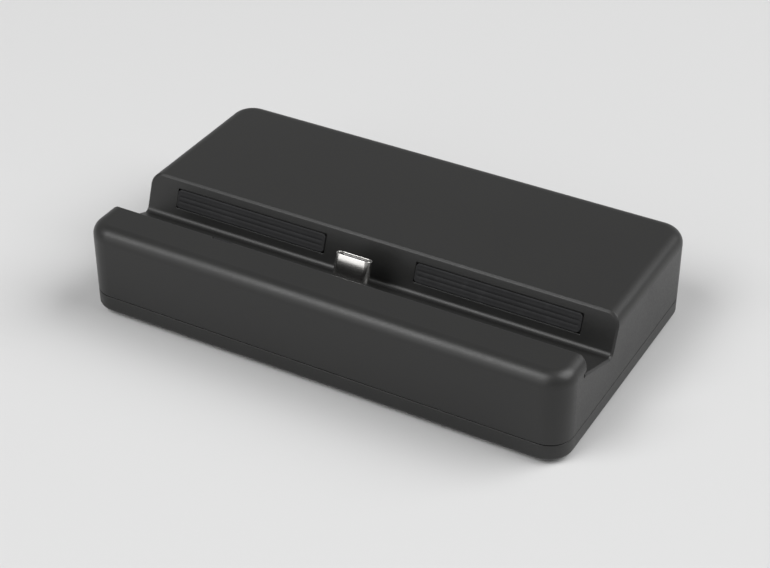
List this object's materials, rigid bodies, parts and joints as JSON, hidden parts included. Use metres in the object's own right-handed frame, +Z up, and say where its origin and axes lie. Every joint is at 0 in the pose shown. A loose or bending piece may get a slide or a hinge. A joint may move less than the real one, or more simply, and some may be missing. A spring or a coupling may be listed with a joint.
{
  "type": "handheld console dock",
  "caption": "Low desktop dock for a handheld: a rounded dark block with a tilted slot open at both ends, a docking plug in the slot and video, data and power sockets at the rear.",
  "frame": {"origin": "on the floor under the middle of the block, at the height of the feet's undersides", "axes": "+X right along the front, +Y from the front face to the rear sockets, +Z up"},
  "size_m": [0.1134, 0.064, 0.0221],
  "materials": {
    "housing_plastic": "charcoal moulded plastic with a fine satin texture",
    "base_plastic": "charcoal moulded plastic with a fine satin texture",
    "foot_rubber": "matt black rubber",
    "pad_rubber": "matt black soft strip",
    "collar_rubber": "matt black soft collar",
    "plated_steel": "bright nickel plate",
    "port_plastic": "black insulator plastic",
    "contact_gold": "gold plate",
    "board_laminate": "green solder mask",
    "ribbon_film": "white flexible film",
    "chip_resin": "black moulding resin",
    "thermal_gel": "grey soft gap pad",
    "coil_ferrite": "dark grey ferrite",
    "drum_aluminium": "satin",
    "capacitor_body": "tan fired body",
    "screw_steel": "dark zinc plate"
  },
  "bodies": {
    "root": {"upper_housing": "housing_plastic", "base_cover": "base_plastic", "foot_front_left": "foot_rubber", "foot_front_right": "foot_rubber", "foot_rear_left": "foot_rubber", "foot_rear_right": "foot_rubber", "floor_strip_left": "pad_rubber", "floor_strip_right": "pad_rubber", "rest_strip_left": "pad_rubber", "rest_strip_right": "pad_rubber", "plug_collar": "collar_rubber", "plug_shell": "plated_steel", "plug_insulator": "port_plastic", "plug_contacts": "contact_gold", "plug_block": "port_plastic", "plug_board": "board_laminate", "ribbon_socket_front": "port_plastic", "ribbon_socket_rear": "port_plastic", "ribbon_cable": "ribbon_film", "main_board": "board_laminate", "video_socket_shell": "plated_steel", "video_socket_insert": "port_plastic", "video_socket_contacts": "contact_gold", "data_socket_shell": "plated_steel", "data_socket_insert": "port_plastic", "data_socket_contacts": "contact_gold", "power_socket_shell": "plated_steel", "power_socket_insert": "port_plastic", "power_socket_contacts": "contact_gold", "converter_chip": "chip_resin", "hub_chip": "chip_resin", "power_chip": "chip_resin", "thermal_pad": "thermal_gel", "shield_can": "plated_steel", "power_coil": "coil_ferrite", "drum_capacitors": "drum_aluminium", "chip_capacitors": "capacitor_body", "timing_crystal": "plated_steel", "case_screws": "screw_steel"}
  },
  "joints": []
}
